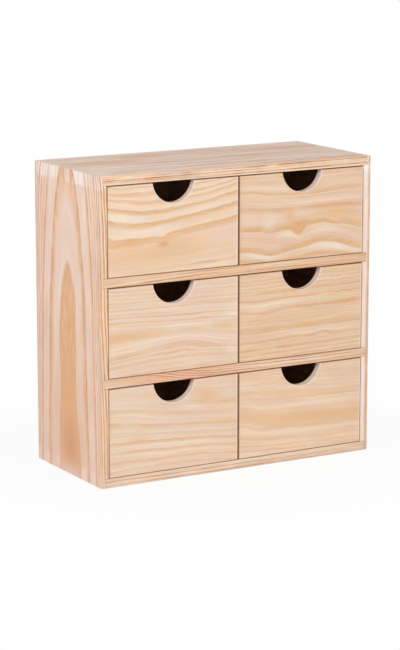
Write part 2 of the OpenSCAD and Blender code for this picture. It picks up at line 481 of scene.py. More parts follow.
FRONT_FIGURES: dict[tuple[Tier, Column], Figure] = {
    (Tier.UPPER, Column.LEFT): replace(
        FRONT_BOARD, pith_across=-170, pith_deep=90, slope=0.0395, fan_slope=0.00011, bow=0.000757,
        fan_bow=0.0000186, spacing=4, common=0.1, streaks=0.22, fresh=0.5, seed=31,
        rings=each(
            Ring,(38.5, 0.5, 1.6), (32.7, 0.6, 2.2), (28.1, 0.6, 2.2), (21, 0.95, 3.6, 1.3),
            (10.8, 0.95, 4.6, 1.3), (-2.1, 0.9, 7, 1.4), (-40.2, 0.6, 5, 1.2, 45, 50)),
        swirls=each(
            Swirl,(-72, -20, 14, 12, -6), (-42, -12, 45, 30, -7.1), (-18, 41, 45, 11, 6.6),
            (-13, -11, 9, 6, -3)),
        stains=each(
            Stain,(-20, -22, 80, 14, 0.65, Tint.HONEY), (-60, 16, 28, 4, 0.85, Tint.PALE),
            (62, -16, 22, 9, 0.7, Tint.BLUSH), (-12.5, -11, 6, 4.5, 0.9, Tint.AMBER),
            (-50, -5, 12, 3, 0.8, Tint.AMBER), (-32, 3.6, 30, 3, 0.8, Tint.PALE),
            (-60, 26, 20, 1.6, 0.7, Tint.PALE), (40, 15, 30, 2.4, 0.5, Tint.PALE),
            (45, -44, 30, 2.4, 0.8, Tint.PALE))),
    (Tier.UPPER, Column.RIGHT): replace(
        FRONT_BOARD, pith_across=160, pith_deep=90, wave=0.6, wave_length=40, spacing=4, common=0.15,
        streaks=0.35, seed=32,
        rings=each(
            Ring,(43, 0.42, 2), (36.5, 0.34, 3, 1, -50, 25), (26, 0.51, 4), (21, 0.42, 3, 1, 10, 35),
            (9, 0.68, 1.6, 4.5), (-12.5, 0.81, 6, 1.4), (-34.5, 0.81, 7, 1.2), (-45.5, 0.68, 4, 1.2)),
        swirls=each(
            Swirl,(28, -24, 24, 20, 5), (-4.5, -18, 7, 7, -8.5), (-36, -34, 20, 14, -5.5),
            (78, -32, 22, 24, -8), (5, 26, 38, 9, -3.5), (-75, 20, 25, 14, 2.5), (-41, -12, 8, 6, -3),
            (41, -8, 7, 5, -3), (25, -7, 7, 4, 2.2), (54, -7, 6, 4, 1.6)),
        stains=each(
            Stain,(44, 2, 24, 6.5, 0.95, Tint.HONEY), (-40, -1, 12, 6, 0.4, Tint.PALE),
            (-66, 0, 12, 7, 0.6, Tint.BLUSH), (-15, 2, 4, 7, 0.8, Tint.HONEY),
            (0, 3, 11, 3.5, 0.7, Tint.BLUSH), (-2, -8, 11, 4, 0.9, Tint.AMBER),
            (-15, -18, 12, 3, 0.9, Tint.PALE), (30, -20, 20, 4, 0.7, Tint.PALE),
            (-50, -38.5, 20, 2.5, 1, Tint.PALE), (40, -38.5, 28, 3, 0.95, Tint.PALE),
            (-50, 31, 30, 2.4, 0.5, Tint.PALE), (10, 15, 60, 2.4, 0.5, Tint.PALE))),
    (Tier.MIDDLE, Column.LEFT): replace(
        FRONT_BOARD, pith_across=150, slope=-0.0063, fan_slope=-0.00036, bow=-0.000337, fan_bow=0.0000102,
        wave=0.4, ripple=1.2, spacing=2.6, common=0.45, seed=33,
        rings=each(
            Ring,(41.5, 0.37, 1.4), (37.2, 0.41, 1.8), (33.5, 0.37, 1.4), (29.5, 0.37, 1.4), (22, 0.51, 2),
            (12.4, 0.55, 1.8), (6, 0.55, 2.2), (-25.4, 0.64, 3, 0.9), (-28.4, 0.60, 1.6, 0.9),
            (-33, 0.55, 3, 0.9), (-37.5, 0.46, 2, 0.9, -30, 60), (-44, 0.55, 3, 0.9)),
        swirls=each(
            Swirl,(8, -13, 45, 12, 7.3), (-69, -1, 45, 18, 6.4)),
        stains=each(
            Stain,(-56, -10.5, 44, 5.5, 0.95, Tint.HONEY), (5, -17.6, 90, 1.8, 0.9, Tint.PALE),
            (58, -4, 14, 4, 0.7, Tint.HONEY), (70, 10.5, 7, 4, 0.9, Tint.PALE),
            (10, -1, 30, 2.6, 0.7, Tint.PALE), (70, -28.5, 8, 5, 0.7, Tint.PALE),
            (20, -7.5, 12, 2, 0.4, Tint.HONEY))),
    (Tier.MIDDLE, Column.RIGHT): replace(
        FRONT_BOARD, pith_across=140, slope=0.012, wave_length=50, ripple=1.7, spacing=2.7, common=0.4,
        seed=34,
        rings=each(
            Ring,(40, 0.30, 1.4), (36, 0.34, 1.6), (31.5, 0.38, 1.6), (25.5, 0.56, 2), (18.2, 0.56, 2.2),
            (6.5, 0.64, 2.8), (-15.8, 0.56, 6), (-27, 0.60, 2), (-35, 0.60, 2.4), (-40.5, 0.45, 1.8),
            (-45, 0.52, 2)),
        swirls=each(
            Swirl,(-48, 5, 18, 6, -2.6), (-10, -26, 14, 5, 1.6), (28, -24, 9, 4, 2.4), (-10, 8, 20, 5, 1)),
        stains=each(
            Stain,(5, -13, 11, 3, 0.9, Tint.HONEY), (60, 6, 14, 2.4, 0.9, Tint.AMBER),
            (0, -2, 70, 7, 0.3, Tint.HONEY), (-23, -34.5, 7, 1.4, 0.9, Tint.AMBER),
            (50, -11, 14, 2.4, 0.6, Tint.HONEY), (-40, 13, 40, 2.6, 0.6, Tint.PALE),
            (30, -22, 40, 2, 0.5, Tint.PALE))),
    (Tier.LOWER, Column.LEFT): replace(
        FRONT_BOARD, pith_across=-180, pith_deep=90, slope=-0.0745, fan_slope=-0.00112, bow=-0.000205,
        fan_bow=0.0000072, wave=0.45, wave_length=70, ripple=1.4, spacing=2.9, common=0.22, streaks=0.4,
        seed=35,
        rings=each(
            Ring,(25.3, 0.68, 2.5, 7, 48, 30), (13.4, 0.45, 3), (1.8, 0.56, 3.4), (-7.4, 0.34, 1.6),
            (-9.8, 0.34, 1.2, 1, 40, 30), (-14.4, 0.60, 3.8), (-22.9, 0.56, 2.4), (-32, 0.52, 4),
            (-40.5, 0.38, 2)),
        swirls=each(
            Swirl,(-12, -28, 27, 7, -1.9), (-64, 18, 45, 11, 4.6)),
        stains=each(
            Stain,(38, 33, 15, 7, 0.75, Tint.HONEY), (62, 3.4, 20, 2.6, 0.7, Tint.HONEY),
            (-42, -13.6, 14, 2, 0.7, Tint.HONEY), (0, -18.6, 60, 2, 0.8, Tint.PALE),
            (0, -26.6, 60, 1.8, 0.6, Tint.PALE), (-40, 8, 30, 2.5, 0.25, Tint.PALE),
            (20, 20, 12, 3, 0.5, Tint.PALE))),
    (Tier.LOWER, Column.RIGHT): replace(
        FRONT_BOARD, pith_across=150, slope=-0.0308, bow=0.00006, wave=0.45, ripple=1.4, spacing=2.6,
        common=0.35, seed=36,
        rings=each(
            Ring,(43, 0.26, 1.4), (40, 0.26, 1.4), (36.5, 0.22, 1.4), (33, 0.26, 1.4), (27, 0.22, 1.4),
            (17.5, 0.35, 2), (11.9, 0.48, 3.4, 1, 50, 70), (-19.6, 0.38, 17, 1.4), (-31.8, 0.38, 4),
            (-38, 0.38, 1.6), (-43, 0.38, 2)),
        swirls=each(
            Swirl,(-74, -5, 18, 23, 5.8), (-39, 27, 45, 8, 4.9)),
        stains=each(
            Stain,(10, -9, 90, 7.5, 0.8, Tint.HONEY), (0, 4.5, 80, 2.2, 0.55, Tint.PALE),
            (0, -24, 80, 2, 0.6, Tint.PALE), (70, -8, 10, 8, 0.15, Tint.AMBER),
            (-60, -18, 20, 2, 0.7, Tint.PALE))),
}


# --- Finishes ---


@dataclass(frozen=True)
class PineTone:
    """The colours of one kind of pine board, with the painted shade on its long arrises, and how strongly
    each shows.
    """

    early: Colour
    blush: Colour
    late: Colour
    line: Colour
    gold: Colour = srgb(232, 204, 158)
    # The end faces' colour; on the fronts this brown is partly end grain and partly painted shade in the
    # gaps between drawers.
    ends: Colour = srgb(204, 156, 116)
    ends_share: float = 0.7
    # The share of painted shade that darkens the long arrises.
    arris_shade_share: float = 0.6
    close_line: float = 0.22
    streak: float = 0.06
    cast: float = 0.30


FRONT_TONE = PineTone(
    early=srgb(236, 212, 186), blush=srgb(232, 201, 178), late=srgb(227, 184, 141), line=srgb(208, 152, 106),
    arris_shade_share=0.8)
PALE_TONE = replace(
    FRONT_TONE, early=srgb(234, 213, 194), blush=srgb(232, 203, 186), late=srgb(226, 186, 147))
WARM_TONE = replace(
    FRONT_TONE, early=srgb(232, 205, 177), blush=srgb(229, 195, 171), late=srgb(222, 177, 132))
# On the case boards the pale end colour is partly end grain and partly a painted highlight on the sides' top
# ends.
CASE_TONE = PineTone(
    early=srgb(243, 217, 203), blush=srgb(237, 204, 192), late=srgb(230, 178, 133), line=srgb(198, 145, 106),
    ends=srgb(240, 222, 206), ends_share=0.5, arris_shade_share=0.15, close_line=0.6, cast=0.36)
RIGHT_TONE = replace(CASE_TONE, late=srgb(222, 181, 148), line=srgb(190, 144, 110))
# Painted light: the top is coloured lighter and paler than the other case boards, because the lamps light it
# less.
LIGHTENED_TOP_TONE = replace(
    CASE_TONE, early=srgb(255, 238, 225), blush=srgb(253, 226, 217), late=srgb(227, 183, 149),
    line=srgb(176, 120, 82), arris_shade_share=0.3, close_line=0.9, cast=0.5)
EDGE_TONE = PineTone(
    early=srgb(237, 208, 178), blush=srgb(233, 196, 168), late=srgb(217, 166, 124), line=srgb(180, 118, 78),
    ends=srgb(196, 146, 108), ends_share=0.5, arris_shade_share=0.7, close_line=0.6, cast=0.36)
SHELF_TONE = replace(EDGE_TONE, early=srgb(232, 196, 160), blush=srgb(226, 183, 147))
LOWER_TONE = replace(EDGE_TONE, close_line=0.85)
BOTTOM_TONE = replace(
    EDGE_TONE, early=srgb(237, 214, 192), blush=srgb(233, 208, 185), late=srgb(210, 172, 139),
    line=srgb(170, 126, 96))
# Partly painted shade: the inner boards are coloured darker than the outer ones, so that the inside seen
# through the notch looks dark.
SHADED_INNER_TONE = PineTone(
    early=srgb(226, 195, 174), blush=srgb(219, 184, 163), late=srgb(204, 159, 125), line=srgb(184, 133, 100),
    ends=srgb(196, 150, 112))
FRONT_TONES: dict[tuple[Tier, Column], PineTone] = {
    (Tier.UPPER, Column.LEFT): FRONT_TONE,
    (Tier.UPPER, Column.RIGHT): replace(WARM_TONE, early=srgb(230, 202, 175), blush=srgb(227, 192, 169)),
    (Tier.MIDDLE, Column.LEFT): PALE_TONE,
    (Tier.MIDDLE, Column.RIGHT): WARM_TONE,
    (Tier.LOWER, Column.LEFT): replace(PALE_TONE, early=srgb(232, 210, 189), blush=srgb(230, 200, 181)),
    (Tier.LOWER, Column.RIGHT): replace(FRONT_TONE, early=srgb(234, 210, 185), blush=srgb(230, 199, 177)),
}
SAWN = srgb(242, 224, 214)
# Pale end grain and painted highlight: for the notch's rim, and as the painted highlight along a front's
# right end.
PALE_END_GRAIN_AND_HIGHLIGHT = srgb(252, 240, 228)
# Painted shade: darkens the long eased arrises, so that the gaps between parts and the joints show dark
# lines.
ARRIS_SHADE_BROWN = srgb(166, 110, 74)


@dataclass(frozen=True)
class Speckle:
    """One kind of unevenness in pine: the grain of its noise in millimetres, and its own seed.

    Where span is given, the noise is eased from 0 to 1 between its two values.
    """

    grain: Place
    seed: float
    detail: float = 2.0
    roughness: float = 0.5
    span: tuple[float, ...] = ()


PATCHY = Speckle((26.0, 5.0, 7.0), 6.0, 3.0, 0.6, span=(0.34, 0.64))
COARSE_FIBRE = Speckle((90.0, 2.0, 2.0), 9.0, 3.0, 0.6)
FINE_FIBRE = Speckle((22.0, 0.5, 0.5), 13.0, 2.0, 0.6)
GROWTH_LINES = Speckle((160.0, 1.5, 60.0), 17.0, span=(0.40, 0.72))
CLOUD = Speckle((60.0, 11.0, 24.0), 21.0, 3.0, span=(0.35, 0.66))
VEIN = Speckle((34.0, 3.2, 9.0), 24.0, 3.0, span=(0.48, 0.70))
RAGGED = Speckle((2.0, 40.0, 6.0), 27.0)
STRIPES = Speckle((7.0, 200.0, 9.0), 28.0, 1.0, span=(0.36, 0.60))
HUE = Speckle((45.0, 3.0, 9.0), 31.0, 3.0, 0.6)

# Lengths in millimetres.
WAVE_WIDTH = 60.0
RIPPLE_WIDTH = 8.0
RIPPLE_DEPTH = 20.0
FLARE_FULL = 48.0
FLARE_GONE = 74.0
CLOSING = 1.3
OPENING = 3.0
# The width over which the painted highlight at a front's right end fades in.
HIGHLIGHT_EASE = 1.2
BLEACH_RAGGED = 9.0
BLEACH_SPAN = (3.0, 6.5)

# Plain years: where each kind of wood starts and where it is full, in parts of a year; how many years the
# spacing wanders, and over how many; and the strength of the weakest year.
LATE_SPAN = (0.30, 0.93)
LINE_SPAN = (0.80, 0.95)
PALE_SPAN = (0.35, 0.02)
CLOSE_SPAN = (1.0, 0.92)
WANDER = 1.6
WANDER_YEARS = 2.2
WEAKEST = 0.25

# Years that stand out: where the dark wood is full, in parts of its build, and where the pale wood that
# follows starts and is full, in parts of the ring's close.
FULL_AT = 0.3
FRESH_SPAN = (0.4, 1.4)

# How patchy wood scales a year: a factor and an offset.
PLAIN_PATCHY = (1.3, 0.1)
RING_PATCHY = (0.8, 0.6)

# How squarely a long arris and a sawn end face along the grain.
ARRIS_SPAN = (0.5, 0.2)
END_SPAN = (0.5, 0.95)

# Shares of colour, the factors of a warm cast for red, green and blue, and the surface of sanded pine.
# How strongly the painted highlight along a front's right end shows.
HIGHLIGHT_SHARE = 0.6
# How strongly the notch's rim shows, partly pale end grain and partly painted highlight.
RIM_SHARE = 0.7
VEIN_SHARE = 0.5
STAIN_OVER_LATE = 0.4
WARMING = (1.0, 0.2, -0.6)
PINE_SHINE = 0.30
PINE_BUMP = 0.35
PINE_DEPTH = 0.12 * MM


class Finish:
    """What dresses a piece. Each kind of finish has its slot in the record and paints a skin of its own."""

    slot: Slot

    def skin(self, name: str, centre: Vector) -> Skin:
        """Paints the skin of the piece that has that name and middle."""
        raise NotImplementedError(name)

    def make(self, name: str, bm: bmesh.types.BMesh, body: str, node: str) -> bpy.types.Object:
        """Makes a piece, dresses it and lets it take its node's place.

        Args:
            name: The piece's name.
            bm: Its geometry, in the row frame. It is freed.
            body: The body that it rides on.
            node: The node.

        Returns:
            The piece.
        """
        piece = finish_mesh(name, bm)
        low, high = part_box(node)
        piece.data.materials.append(self.skin(name, (low + high) / 2).material)
        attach(piece, body)
        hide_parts(node)
        return piece


class PineSkin(Skin):
    """The skin of one pine board, worked out from each point's place in the log that it was cut from."""

    def __init__(self, name: str, cut: Figure, tone: PineTone, lie: Lie, centre: Vector) -> None:
        """Finds each point's place in the board and in the log, and paints the wood.

        Args:
            name: The material's name.
            cut: How the board was cut.
            tone: Its colours.
            lie: How it lies.
            centre: Its middle in metres.
        """
        super().__init__(name)
        self.cut = cut
        self.tone = tone
        self.grain_axis = lie.value[0]
        self.point = self.place(centre, lie.value)
        self.along, self.across, self.deep = self.point
        self.side = self.math("SUBTRACT", self.across, self._lift())
        self.radius = self._radius()
        self._paint()

    def _paint(self) -> None:
        """Lays on the wood's colour, shine and relief."""
        late, line, pale = self._years()
        fibre = self._fibre()
        level = self.scale(fibre, 2 * self.tone.streak, 1 - self.tone.streak)
        colour = self.shade(self._cast(self._colour(late, line, pale)), level)
        self.coat(colour, self.scale(fibre, 0.18, 0.50), PINE_SHINE)
        self.relief(self.add(self.times(late, 0.5), self.times(fibre, 0.8)), PINE_DEPTH, PINE_BUMP)

    def _speckle(self, kind: Speckle, *place: Feed) -> Socket:
        """Adds one kind of unevenness.

        Args:
            kind: The kind.
            *place: The first two coordinates, unless it follows the grain.

        Returns:
            Its value.
        """
        point = (*(place or (self.along, self.side)), self.deep)
        value = self.noise(point, kind.grain, self.cut.seed + kind.seed, kind.detail, kind.roughness)
        return self.smooth(value, *kind.span) if kind.span else value

    def _patch(self, spot: Union[Swirl, Stain], across: Feed) -> Socket:
        """Makes a soft round patch, nearly nil beyond twice its reach."""
        return self.fade(self.bell(self.along, spot.along, spot.reach_along),
                         self.bell(across, spot.across, spot.reach_across))

    def _lift(self) -> Socket:
        """Works out how far slope, waves and swirls carry the grain across the board.

        Returns:
            The drift in millimetres.
        """
        cut = self.cut
        slope = self.scale(self.across, cut.fan_slope, cut.slope)
        bow = self.scale(self.across, cut.fan_bow, cut.bow)
        sway = self.noise(self.point, (cut.wave_length, WAVE_WIDTH, WAVE_WIDTH), cut.seed, 1.0)
        short = (cut.wave_length / 4, RIPPLE_WIDTH, RIPPLE_DEPTH)
        ripple = self.noise(self.point, short, cut.seed + 0.7, 3.0, 0.6)
        return self.add(
            self.times(self.along, self.scale(self.along, bow, slope)),
            self.scale(sway, 6 * cut.wave, -3 * cut.wave),
            self.scale(ripple, 2 * cut.ripple, -cut.ripple),
            *(self.times(self._patch(swirl, self.across), swirl.lift) for swirl in cut.swirls))

    def _radius(self) -> Socket:
        """Works out how far each point lies from the heart of the log.

        Returns:
            The radius in millimetres.
        """
        from_heart = self.math("SUBTRACT", self.side, self.cut.pith_across)
        depth = self.math("SUBTRACT", self.deep, self.cut.pith_deep)
        squares = self.add(self.times(from_heart, from_heart), self.times(depth, depth))
        inner = self.smooth(self.math("ABSOLUTE", self.across), FLARE_GONE, FLARE_FULL)
        past = self.times(self.math("MAXIMUM", self.along, 0.0), inner)
        narrowing = self.scale(past, self.cut.flare, self.cut.taper)
        return self.scale(self.along, narrowing, self.math("SQRT", squares))

    def _years(self) -> tuple[Feed, Feed, Feed]:
        """Lays the years' dark wood along the radius.

        Returns:
            How much there is of late wood, of the darkest line that closes a year, and of the pale wood
            that opens the next.
        """
        cut = self.cut
        radius = self.radius
        uneven = self.noise((radius, 0.0, 0.0), (cut.spacing * WANDER_YEARS, 1.0, 1.0), cut.seed + 4.0, 1.0)
        years = self.scale(radius, 1 / cut.spacing, self.times(uneven, WANDER))
        part = self.math("FRACT", years)
        chance = self.scale(self.dice(self.math("FLOOR", years)), 1 - WEAKEST, WEAKEST)
        patchy = self._speckle(PATCHY, self.along, self.across)
        plain = (self.smooth(part, *CLOSE_SPAN), chance, cut.common, self.scale(patchy, *PLAIN_PATCHY))
        late = self.times(self.smooth(part, *LATE_SPAN), *plain)
        line = self.times(self.smooth(part, *LINE_SPAN), *plain)
        pale = self.times(self.smooth(part, *PALE_SPAN), cut.common, cut.fresh)
        firm = self.scale(patchy, *RING_PATCHY)
        for ring in cut.rings:
            edge = cut.radius_at(ring.at)
            ends = self.smooth(radius, edge + ring.close, edge)
            power = self.times(firm, ring.strength)
            if ring.reach:
                power = self.times(power, self.fade(self.bell(self.along, ring.along, ring.reach)))
            builds = self.smooth(radius, edge - ring.build, edge - FULL_AT * ring.build)
            dark = self.times(builds, ends, power)
            closes = self.smooth(radius, edge - min(ring.build, CLOSING), edge)
            last = self.times(closes, ends, power, ring.outline)
            starts = self.smooth(radius, *(edge + share * ring.close for share in FRESH_SPAN))
            stops = self.smooth(radius, edge + OPENING + ring.close, edge + ring.close)
            fresh = self.times(starts, stops, power, cut.fresh)
            late = self.math("MAXIMUM", late, dark)
            line = self.math("MAXIMUM", line, last)
            pale = self.math("MAXIMUM", pale, fresh)
        return late, line, pale

    def _fibre(self) -> Feed:
        """Makes the fine streaks that run along the grain, round 0.5."""
        coarse, fine = (self._speckle(kind) for kind in (COARSE_FIBRE, FINE_FIBRE))
        return self.add(self.times(coarse, 0.6), self.times(fine, 0.4))

    def _colour(self, late: Feed, line: Feed, pale: Feed) -> Socket:
        """Mixes the wood's colours.

        Args:
            late: Share of late wood.
            line: Share of the dark line that closes a year.
            pale: Share of the pale wood that opens a year.

        Returns:
            The colour, still without its cast and the fine streaks.
        """
        tone = self.tone
        cut = self.cut
        streaks = self.times(self._speckle(GROWTH_LINES, self.along, self.radius), cut.streaks)
        vein = self.times(self._speckle(VEIN), VEIN_SHARE)
        stains = [(self.times(self._patch(stain, self.side), stain.strength), stain.tint.value)
                  for stain in cut.stains]
        return self.layer(
            tone.early, (self._speckle(CLOUD), tone.blush), (vein, tone.gold), *stains,
            (pale, Tint.PALE.value), (streaks, tone.late), (late, tone.late),
            *((self.times(share, STAIN_OVER_LATE), tint) for share, tint in stains),
            (self.times(line, tone.close_line), tone.line), *self._work(late))

    def _work(self, late: Feed) -> Iterable[tuple[Feed, Feed]]:
        """Shows what the joiner did to the board, bleached ends and saw cuts, and lays on painted light: a
        painted highlight along a front's right end, painted shade on the long arrises, a notch rim that is
        partly pale end grain and partly painted highlight, and end faces that are partly painted light.

        Args:
            late: Share of late wood.

        Yields:
            The coats to lay over the wood, each a share and a colour.
        """
        tone = self.tone
        cut = self.cut
        if cut.bleached_from:
            yield self._bleach(late), Tint.BLEACHED.value
        # Painted highlight: a pale strip along the front's right end.
        if cut.highlight_from:
            right_end_highlight = self.smooth(self.along, cut.highlight_from, cut.highlight_from + HIGHLIGHT_EASE)
            yield self.times(right_end_highlight, HIGHLIGHT_SHARE), PALE_END_GRAIN_AND_HIGHLIGHT
        if cut.sawn:
            yield self.times(self.marked(CUT), cut.sawn), SAWN
        endwise = self.facing(self.grain_axis)
        # Painted shade along the long arrises, which darkens the gaps and joints.
        shaded_long_arris = self.times(self.marked(ARRIS), self.smooth(endwise, *ARRIS_SPAN))
        yield self.times(shaded_long_arris, tone.arris_shade_share), ARRIS_SHADE_BROWN
        # The notch's rim: partly pale end grain, partly a painted highlight.
        yield self.times(self.marked(RIM), RIM_SHARE), PALE_END_GRAIN_AND_HIGHLIGHT
        # The end faces: pale on the case boards, partly a painted highlight; brown on the fronts, partly
        # painted shade in the gaps.
        planed = self.math("SUBTRACT", 1.0, self.marked(CUT))
        yield self.times(self.smooth(endwise, *END_SPAN), planed, tone.ends_share), tone.ends

    def _cast(self, colour: Feed) -> Socket:
        """Casts the wood warmer in some streaks and cooler in others."""
        hue = self.math("SUBTRACT", self._speckle(HUE), 0.5)
        return self.tinge(colour, *(self.scale(hue, share * self.tone.cast, 1.0) for share in WARMING))

    def _bleach(self, late: Feed) -> Feed:
        """Bleaches the board's ends in stripes, where the joints were glued and sanded thin.

        Args:
            late: Share of late wood, which keeps more of its colour.

        Returns:
            The share of pale wood.
        """
        ragged, stripes = (self._speckle(kind, self.across, self.along) for kind in (RAGGED, STRIPES))
        reach = self.scale(ragged, BLEACH_RAGGED, self.math("ABSOLUTE", self.along))
        ends = self.smooth(reach, *(self.cut.bleached_from + value for value in BLEACH_SPAN))
        which = self.scale(self.smooth(self.along, -1.0, 1.0), 0.55, 0.3)
        keep = self.math("MAXIMUM", self.scale(late, -1.1, 1.0), 0.0)
        return self.times(ends, which, keep, self.scale(stripes, 0.75, 0.25))


@dataclass(frozen=True)
class PineFinish(Finish):
    """Sanded, unsealed pine, cut through a solid log so that faces, edges and ends belong together."""

    figure: Figure
    tone: PineTone
    lie: Lie
    slot: Slot = Slot.CASE_PINE

    def skin(self, name: str, centre: Vector) -> Skin:
        """Paints a board."""
        return PineSkin(f"pine_{name}", self.figure, self.tone, self.lie, centre)


@dataclass(frozen=True)
class PlywoodFinish(Finish):
    """Thin plywood: a peeled face veneer, and a darker cross-laid core that shows on the edges."""

    lie: Lie
    seed: float
    slot: Slot = Slot.PLYWOOD
    thickness: float = 3.0
    peel: Place = (260.0, 46.0, 46.0)
    peel_years: float = 14.0
    fibre: Place = (60.0, 0.9, 0.9)
    face: Colour = srgb(223, 194, 165)
    flame: Colour = srgb(206, 169, 133)
    core: Colour = srgb(176, 138, 98)
    shine: float = 0.28
    depth: float = 0.08 * MM

    def skin(self, name: str, centre: Vector) -> Skin:
        """Paints a panel.

        Args:
            name: The panel's name.
            centre: Its middle in metres.

        Returns:
            The skin.
        """
        skin = Skin(f"plywood_{name}")
        point = skin.place(centre, self.lie.value)
        sway = skin.noise(point, self.peel, self.seed, 1.5, 0.4)
        peel = skin.math("FRACT", skin.times(sway, self.peel_years))
        peeled = skin.times(skin.smooth(peel, 0.1, 0.92), skin.smooth(peel, 1.0, 0.9))
        fibre = skin.noise(point, self.fibre, self.seed + 3.0, 3.0, 0.6)
        inside = skin.smooth(skin.math("ABSOLUTE", point[2]), self.thickness / 5, self.thickness / 6)
        coats = (skin.times(peeled, 0.5), self.flame), (skin.times(inside, 0.8), self.core)
        colour = skin.shade(skin.layer(self.face, *coats), skin.scale(fibre, 0.16, 0.92))
        skin.coat(colour, skin.scale(fibre, 0.2, 0.5), self.shine)
        skin.relief(fibre, self.depth, 0.3)
        return skin


@dataclass(frozen=True)
class PinFinish(Finish):
    """Drawn steel wire with a hammered head."""

    slot: Slot = Slot.STEEL
    steel: Colour = srgb(176, 174, 170)
    dull: Colour = srgb(128, 124, 118)
    dents: Place = (0.6, 0.6, 0.6)
    depth: float = 0.05 * MM

    def skin(self, name: str, centre: Vector) -> Skin:
        """Paints a set of pins.

        Args:
            name: The set's name.
            centre: Its middle in metres.

        Returns:
            The skin.
        """
        skin = Skin(f"steel_{name}")
        spot = skin.noise(skin.place(centre), self.dents, 2.0, 3.0)
        colour = skin.blend(skin.smooth(spot, 0.4, 0.7), self.steel, self.dull)
        skin.coat(colour, skin.scale(spot, 0.3, 0.25), metallic=1.0)
        skin.relief(spot, self.depth, 0.4)
        return skin


# --- Making pieces ---


def finish_mesh(name: str, bm: bmesh.types.BMesh) -> bpy.types.Object:
    """Turns a finished bmesh into an object with clean shading.

    Args:
        name: The piece's name.
        bm: Its geometry, in the row frame. It is freed.

    Returns:
        The new object.
    """
    mesh = bpy.data.meshes.new(name)
    for face in bm.faces:
        face.smooth = True
    bm.to_mesh(mesh)
    bm.free()
    mesh.set_sharp_from_angle(angle=SMOOTH_ANGLE)
    piece = bpy.data.objects.new(name, mesh)
    bpy.context.scene.collection.objects.link(piece)
    return piece


def copy_solid(node: str) -> bmesh.types.BMesh:
    """Copies a node's CAD mesh and welds the copy's loose triangles.

    Args:
        node: The node's name.

    Returns:
        The welded copy.
    """
    bm = bmesh.new()
    bm.from_mesh(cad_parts[node].data)
    bmesh.ops.remove_doubles(bm, verts=bm.verts, dist=WELD)
    return bm


@dataclass
class Board:
    """A board or panel that is dressed from its CAD solid, with its arrises eased."""

    node: str
    body: str
    finish: Finish
    ease: float = 0.35 * MM
    shortest: float = 1.2 * MM
    corner: float = 0.15 * MM * MM
    tilt: float = 0.02
    sunk: float = 0.01 * MM

    def build(self) -> bpy.types.Object:
        """Makes the board, dresses it and puts it in its node's place.

        Returns:
            The new piece.
        """
        bm = copy_solid(self.node)
        for name in (ARRIS, RIM, CUT):
            bm.faces.layers.float.new(name)
        arris, rim, cut = (bm.faces.layers.float[name] for name in (ARRIS, RIM, CUT))
        bmesh.ops.dissolve_limit(bm, angle_limit=FLAT_ANGLE, verts=bm.verts, edges=bm.edges)
        low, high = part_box(self.node)
        for face in bm.faces:
            face[cut] = float(self._is_cut(face.calc_center_median(), low, high))
        arrises = [edge for edge in bm.edges if self._is_arris(edge)]
        eased = bmesh.ops.bevel(bm, geom=arrises, offset=self.ease, offset_type="OFFSET", segments=2,
                                profile=0.5, affect="EDGES", clamp_overlap=True, material=-1)["faces"]
        curved = {face for face in eased if self._is_curved(face)}
        for face in eased:
            beside = [other for edge in face.edges for other in edge.link_faces if other is not face]
            between = sum(other in curved for other in beside) > 1
            face[rim if face in curved or between else arris] = 1.0
        return self.finish.make(f"{self.node}_board", bm, self.body, self.node)

    def _is_cut(self, middle: Vector, low: Vector, high: Vector) -> bool:
        """Says whether a face was cut after planing, so that its middle lies inside the board's box."""
        return min(min(middle[axis] - low[axis], high[axis] - middle[axis]) for axis in range(3)) > self.sunk

    def _is_curved(self, face: bmesh.types.BMFace) -> bool:
        """Says whether an eased face follows the finger notch and isn't a tiny face of a corner."""
        return min(abs(value) for value in face.normal) > self.tilt and face.calc_area() > self.corner

    def _is_arris(self, edge: bmesh.types.BMEdge) -> bool:
        """Says whether sandpaper reaches an edge: a sharp outer one, longer than a pin hole's rim."""
        outer = edge.is_manifold and edge.is_convex
        return outer and edge.calc_face_angle() > ARRIS_ANGLE and edge.calc_length() > self.shortest


def joined(start: bmesh.types.BMVert) -> list[bmesh.types.BMVert]:
    """Collects what hangs together with a vertex.

    Args:
        start: The vertex.

    Returns:
        It and every vertex that edges join to it.
    """
    found = {start}
    group = [start]
    for vert in group:
        others = (edge.other_vert(vert) for edge in vert.link_edges)
        fresh = [other for other in others if other not in found]
        found.update(fresh)
        group.extend(fresh)
    return group


